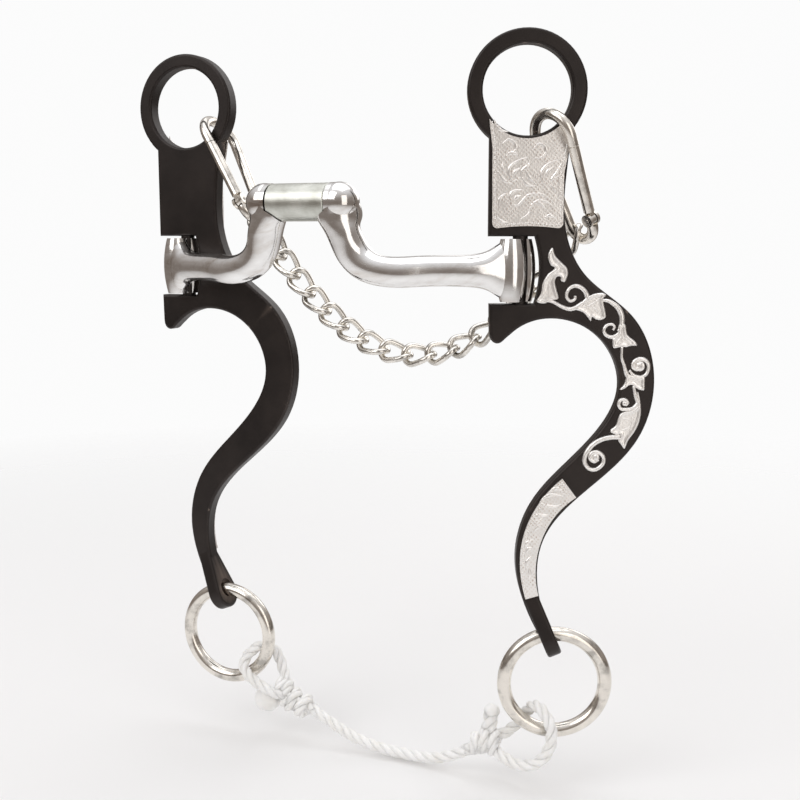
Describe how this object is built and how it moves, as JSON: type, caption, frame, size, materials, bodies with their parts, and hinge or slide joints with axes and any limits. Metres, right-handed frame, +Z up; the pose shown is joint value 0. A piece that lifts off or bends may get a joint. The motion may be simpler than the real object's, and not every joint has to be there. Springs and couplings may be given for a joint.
{
  "type": "curb bit",
  "caption": "Western show curb bit: S-shaped swivelling shanks with silver overlays, ported two-piece mouthpiece, curb chain on snaps, rein rings and tie cord.",
  "frame": {"origin": "midway between the two vertical hinge posts that the mouthpiece ends turn on, at the posts' mid height", "axes": "+X from the left cheek to the right cheek, -Y to the front of the mouthpiece, +Z up to the headstall rings"},
  "size_m": [0.1845, 0.0543, 0.2479],
  "materials": {
    "black_steel": "very dark brown-black oxide, satin",
    "engraved_silver": "pale silver plate, scroll engraved",
    "silver_vine": "raised pale silver overlay",
    "polished_steel": "mirror-polished stainless steel",
    "satin_barrel": "fine satin, lengthwise grain",
    "pin_steel": "plain turned steel",
    "nickel_ring": "polished nickel",
    "nickel_snap": "polished nickel",
    "chain_nickel": "polished nickel",
    "white_cord": "translucent white braided cord"
  },
  "bodies": {
    "mouth_right": {"mouthpiece_right": "polished_steel", "port_pin": "pin_steel"},
    "port_roller": {"port_barrel": "satin_barrel"},
    "mouth_left": {"mouthpiece_left": "polished_steel"},
    "right_cheek": {"right_shank": "black_steel", "right_upper_plate": "engraved_silver", "right_lower_plate": "engraved_silver", "right_vine_overlay": "silver_vine"},
    "left_cheek": {"left_shank": "black_steel", "left_upper_plate": "engraved_silver", "left_lower_plate": "engraved_silver", "left_vine_overlay": "silver_vine"},
    "right_ring": {"right_rein_ring": "nickel_ring"},
    "left_ring": {"left_rein_ring": "nickel_ring", "left_cord_knot": "white_cord"},
    "right_knot": {"right_cord_knot": "white_cord"},
    "cord": {"tie_cord": "white_cord"},
    "right_snap": {"right_snap_body": "nickel_snap", "right_snap_pin": "nickel_snap"},
    "right_gate": {"right_snap_gate": "nickel_snap"},
    "left_snap": {"left_snap_body": "nickel_snap", "left_snap_pin": "nickel_snap"},
    "left_gate": {"left_snap_gate": "nickel_snap"},
    "curb_chain": {"curb_link_01": "chain_nickel", "curb_link_02": "chain_nickel", "curb_link_03": "chain_nickel", "curb_link_04": "chain_nickel", "curb_link_05": "chain_nickel", "curb_link_06": "chain_nickel", "curb_link_07": "chain_nickel", "curb_link_08": "chain_nickel", "curb_link_09": "chain_nickel", "curb_link_10": "chain_nickel", "curb_link_11": "chain_nickel", "curb_link_12": "chain_nickel", "curb_link_13": "chain_nickel", "curb_link_14": "chain_nickel", "curb_link_15": "chain_nickel", "curb_link_16": "chain_nickel", "curb_link_17": "chain_nickel", "curb_link_18": "chain_nickel"}
  },
  "joints": [
    {"name": "right_cheek_swivel", "type": "hinge", "parent": "mouth_right", "child": "right_cheek", "pos_m": [0.0635, 0, 0], "axis": [0, 0, 1], "range_deg": [-2, 6]},
    {"name": "mouth_hinge", "type": "hinge", "parent": "mouth_right", "child": "mouth_left", "pos_m": [0, -0.0275, 0.0213], "axis": [1, 0, 0], "range_deg": [-1.5, 0]},
    {"name": "port_roller_spin", "type": "hinge", "parent": "mouth_right", "child": "port_roller", "pos_m": [0, -0.0275, 0.0213], "axis": [1, 0, 0], "continuous": true},
    {"name": "left_cheek_swivel", "type": "hinge", "parent": "mouth_left", "child": "left_cheek", "pos_m": [-0.0635, 0, 0], "axis": [0, 0, 1], "range_deg": [-4, 1.5]},
    {"name": "cord_swing", "type": "hinge", "parent": "mouth_right", "child": "right_knot", "pos_m": [0.07274, 0.00431, -0.1204], "axis": [0.9996, 0.0299, 0], "range_deg": [-8, 13]},
    {"name": "right_rein_ring_swing", "type": "hinge", "parent": "right_cheek", "child": "right_ring", "pos_m": [0.07274, 0.00431, -0.1204], "axis": [0.9996, 0.0299, 0], "range_deg": [-8, 13]},
    {"name": "left_rein_ring_swing", "type": "hinge", "parent": "left_cheek", "child": "left_ring", "pos_m": [-0.05331, 0.00053, -0.1204], "axis": [0.9996, 0.0299, 0], "range_deg": [-8, 13]},
    {"name": "cord_yaw", "type": "hinge", "parent": "right_knot", "child": "cord", "pos_m": [0.0462, 0.0017, -0.1654], "axis": [0, 0, 1], "range_deg": [-0.5, 5.02], "deforming": ["tie_cord"]},
    {"name": "right_snap_tilt", "type": "hinge", "parent": "right_cheek", "child": "right_snap", "pos_m": [0.07086, 0.00106, 0.04831], "axis": [0.5765, 0.7212, 0.3841], "range_deg": [-4.09, 2.04]},
    {"name": "left_snap_tilt", "type": "hinge", "parent": "left_cheek", "child": "left_snap", "pos_m": [-0.05414, 0.004, 0.051], "axis": [0.8336, -0.0617, 0.549], "range_deg": [-2.92, 4.28]},
    {"name": "right_snap_gate_press", "type": "hinge", "parent": "right_snap", "child": "right_gate", "pos_m": [0.08345, 0.01011, 0.01598], "axis": [-0.4441, -0.8028, -0.3977], "range_deg": [0, 1.4], "stiffness_Nm_per_rad": 0.02},
    {"name": "left_snap_gate_press", "type": "hinge", "parent": "left_snap", "child": "left_gate", "pos_m": [-0.03582, -0.00766, 0.02248], "axis": [-0.8395, 0.01, -0.5433], "range_deg": [0, 3.6], "stiffness_Nm_per_rad": 0.02},
    {"name": "curb_chain_swing", "type": "hinge", "parent": "mouth_right", "child": "curb_chain", "pos_m": [0.07642, 0.01616, 0.01161], "axis": [0.9848, 0.1686, -0.0424], "range_deg": [-7, 7]}
  ],
  "couplings": [
    {"joint": "right_rein_ring_swing", "follows": "cord_swing", "ratio": 1},
    {"joint": "left_rein_ring_swing", "follows": "cord_swing", "ratio": 1},
    {"joint": "cord_yaw", "follows": "mouth_hinge", "ratio": -3.0115},
    {"joint": "right_snap_tilt", "follows": "right_cheek_swivel", "ratio": -0.5122},
    {"joint": "left_snap_tilt", "follows": "left_cheek_swivel", "ratio": -0.7569}
  ]
}
